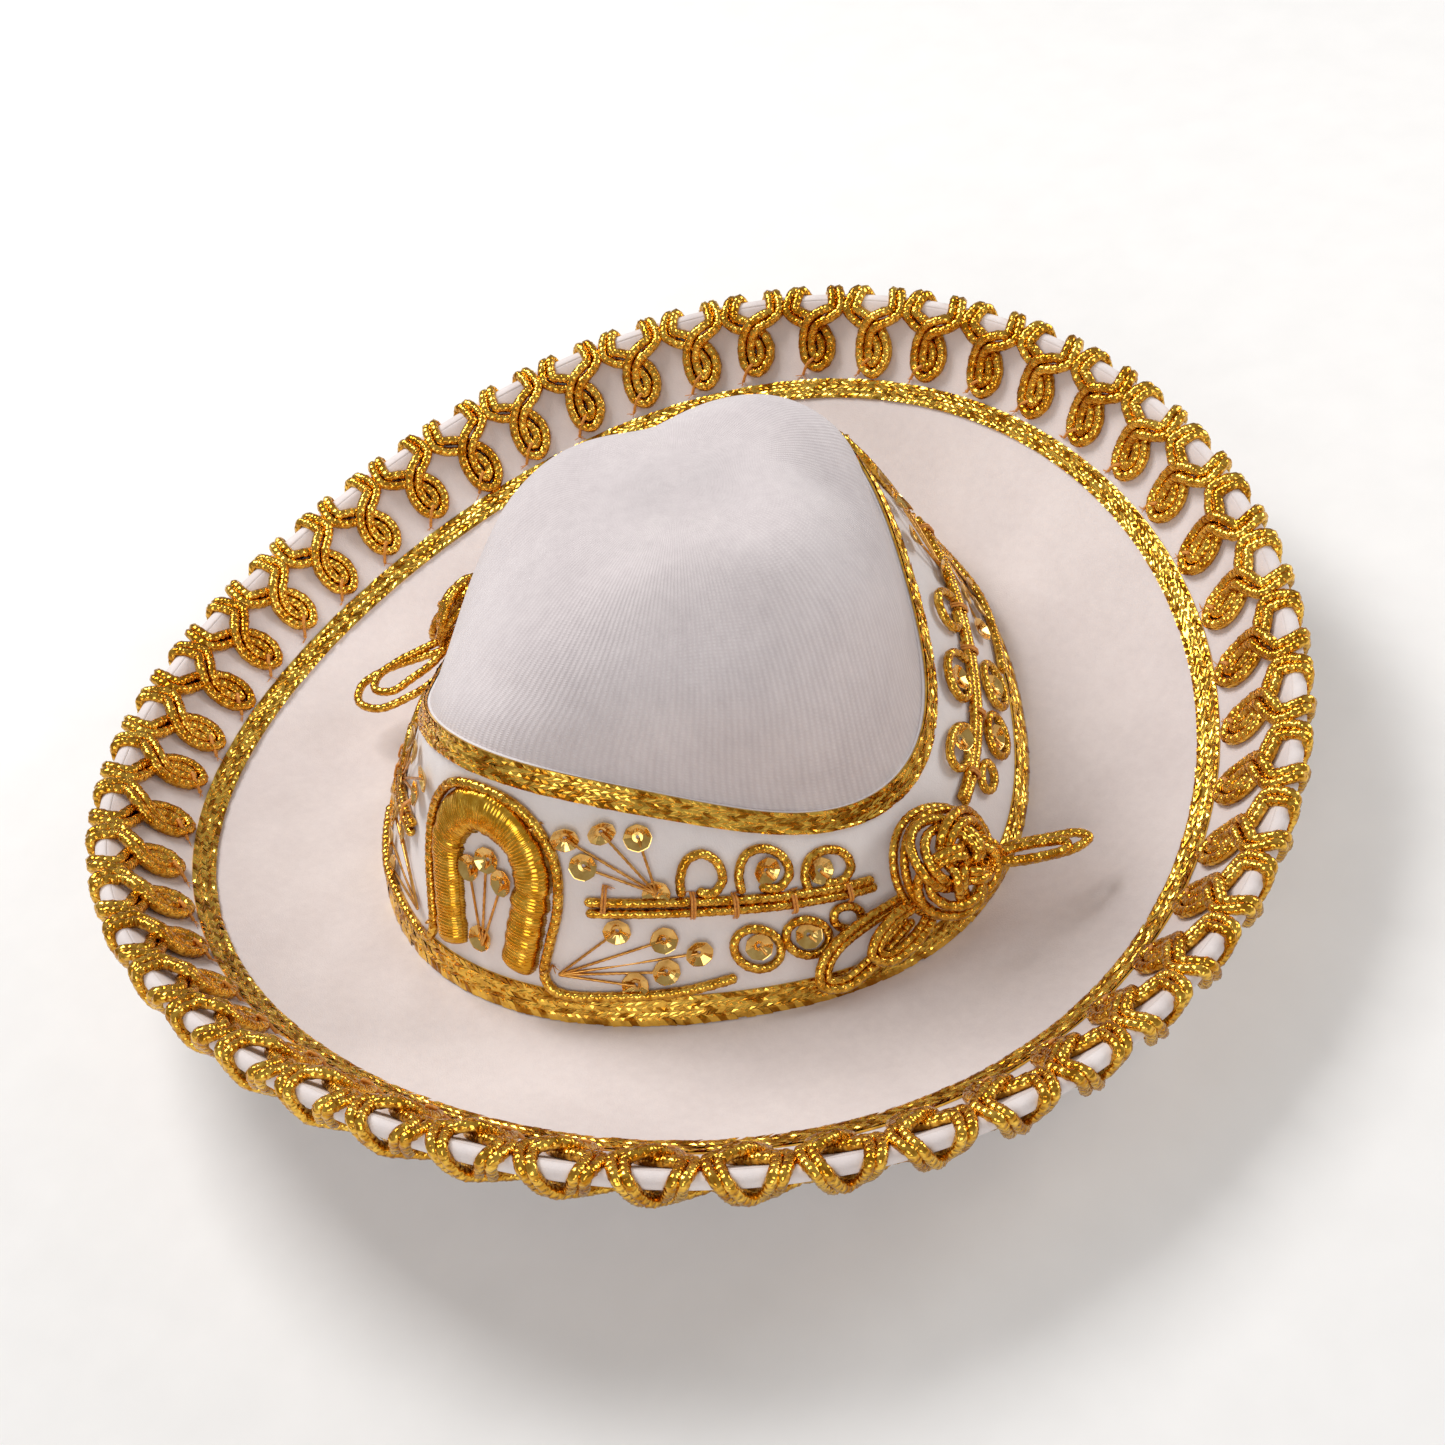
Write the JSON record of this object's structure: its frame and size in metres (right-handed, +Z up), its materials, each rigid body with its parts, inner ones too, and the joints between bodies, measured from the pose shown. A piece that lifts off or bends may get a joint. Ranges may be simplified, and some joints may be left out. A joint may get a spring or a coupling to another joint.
{
  "type": "charro sombrero",
  "caption": "Wide-brimmed charro hat in pale velvet with a dished, laced rim, dented crown and gold braid ornament.",
  "frame": {"origin": "on the resting face under the middle of the brim, at the bottom of the hat", "axes": "+Z up through the crown, -Y towards the front horseshoe, +X and -X towards the side knots"},
  "size_m": [0.31, 0.3034, 0.1092],
  "materials": {
    "white_velvet": "short pile velvet",
    "white_felt": "smooth felt",
    "lining_cloth": "plain woven lining",
    "sweatband_cloth": "ribbed grosgrain",
    "stiff_board": "pressed card",
    "steel_wire": "plain wire",
    "gold_braid": "flat metallic braid",
    "gold_cord": "braided metallic cord",
    "gold_satin_stitch": "padded satin stitch",
    "gold_sequin": "metallised foil",
    "gold_thread": "twisted thread"
  },
  "bodies": {
    "root": {"back_horseshoe_cord": "gold_cord", "back_horseshoe_pad": "gold_satin_stitch", "back_horseshoe_sequins": "gold_sequin", "back_horseshoe_threads": "gold_thread", "back_left_fan_threads": "gold_thread", "back_left_lower_curls": "gold_cord", "back_left_sequins": "gold_sequin", "back_left_stem_cords": "gold_cord", "back_left_stitches": "gold_thread", "back_left_upper_curls": "gold_cord", "back_right_fan_threads": "gold_thread", "back_right_lower_curls": "gold_cord", "back_right_sequins": "gold_sequin", "back_right_stem_cords": "gold_cord", "back_right_stitches": "gold_thread", "back_right_upper_curls": "gold_cord", "band_ribbon_lower": "gold_braid", "band_ribbon_upper": "gold_braid", "brim_board": "stiff_board", "brim_edge_wire": "steel_wire", "brim_ribbon": "gold_braid", "brim_top_velvet": "white_velvet", "brim_under_velvet": "white_velvet", "crown_lining": "lining_cloth", "crown_shell": "stiff_board", "crown_velvet": "white_velvet", "front_horseshoe_cord": "gold_cord", "front_horseshoe_pad": "gold_satin_stitch", "front_horseshoe_sequins": "gold_sequin", "front_horseshoe_threads": "gold_thread", "front_left_fan_threads": "gold_thread", "front_left_lower_curls": "gold_cord", "front_left_sequins": "gold_sequin", "front_left_stem_cords": "gold_cord", "front_left_stitches": "gold_thread", "front_left_upper_curls": "gold_cord", "front_right_fan_threads": "gold_thread", "front_right_lower_curls": "gold_cord", "front_right_sequins": "gold_sequin", "front_right_stem_cords": "gold_cord", "front_right_stitches": "gold_thread", "front_right_upper_curls": "gold_cord", "hat_band": "white_felt", "left_knot": "gold_cord", "left_leaf_loops": "gold_cord", "left_tail_loops": "gold_cord", "right_knot": "gold_cord", "right_leaf_loops": "gold_cord", "right_tail_loops": "gold_cord", "rim_lacing_inner_cord": "gold_cord", "rim_lacing_outer_cord": "gold_cord", "rim_tack_stitches": "gold_thread", "sweatband": "sweatband_cloth"}
  },
  "joints": []
}
